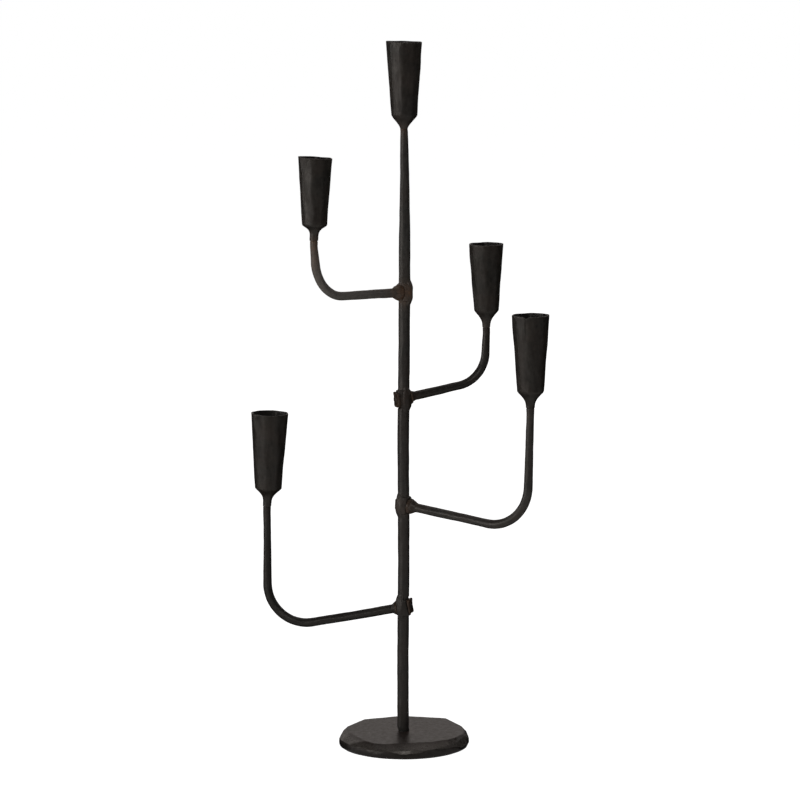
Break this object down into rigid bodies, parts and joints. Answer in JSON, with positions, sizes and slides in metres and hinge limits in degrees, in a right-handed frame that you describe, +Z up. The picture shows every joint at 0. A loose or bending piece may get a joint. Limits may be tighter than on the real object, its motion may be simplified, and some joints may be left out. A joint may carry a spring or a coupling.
{
  "type": "candelabrum",
  "caption": "Forged iron tree candelabrum: round foot, tapering stem, staggered J-shaped arms riveted through drifted eyes, each ending in a tapered rolled cup for a candle.",
  "frame": {"origin": "centre of the foot's flat underside", "axes": "+Z up along the stem; +X to the right and -Y towards the viewer when the object is seen from the front"},
  "size_m": [0.2962, 0.1663, 0.7086],
  "materials": {
    "forged_bar": "forged, oil-blackened, satin",
    "rolled_sheet": "planished, oil-blackened, satin",
    "forged_ring": "forged, oil-blackened, brown from the fire",
    "foot_plate": "hammered edge, waxed brown-black"
  },
  "bodies": {
    "stand": {"foot": "foot_plate", "stem": "forged_bar", "top_cup": "rolled_sheet"},
    "upper_left_branch": {"upper_left_arm": "forged_bar", "upper_left_cup": "rolled_sheet", "upper_left_collar": "forged_ring", "upper_left_burr": "forged_ring"},
    "upper_right_branch": {"upper_right_arm": "forged_bar", "upper_right_cup": "rolled_sheet", "upper_right_collar": "forged_ring", "upper_right_burr": "forged_ring"},
    "lower_right_branch": {"lower_right_arm": "forged_bar", "lower_right_cup": "rolled_sheet", "lower_right_collar": "forged_ring", "lower_right_burr": "forged_ring"},
    "lower_left_branch": {"lower_left_arm": "forged_bar", "lower_left_cup": "rolled_sheet", "lower_left_collar": "forged_ring", "lower_left_burr": "forged_ring"}
  },
  "joints": [
    {"name": "upper_left_swivel", "type": "hinge", "parent": "stand", "child": "upper_left_branch", "pos_m": [0, 0, 0.4603], "axis": [-0.7065, -0.7065, 0.0419], "range_deg": [-90, 90]},
    {"name": "upper_right_swivel", "type": "hinge", "parent": "stand", "child": "upper_right_branch", "pos_m": [0, 0, 0.3538], "axis": [0.9415, 0.2878, 0.1754], "range_deg": [-90, 30]},
    {"name": "lower_right_swivel", "type": "hinge", "parent": "stand", "child": "lower_right_branch", "pos_m": [0, 0, 0.2456], "axis": [0.8614, -0.4974, -0.1028], "range_deg": [-90, 90]},
    {"name": "lower_left_swivel", "type": "hinge", "parent": "stand", "child": "lower_left_branch", "pos_m": [0, 0, 0.141], "axis": [-0.9438, 0.2529, -0.213], "range_deg": [-90, 90]}
  ]
}
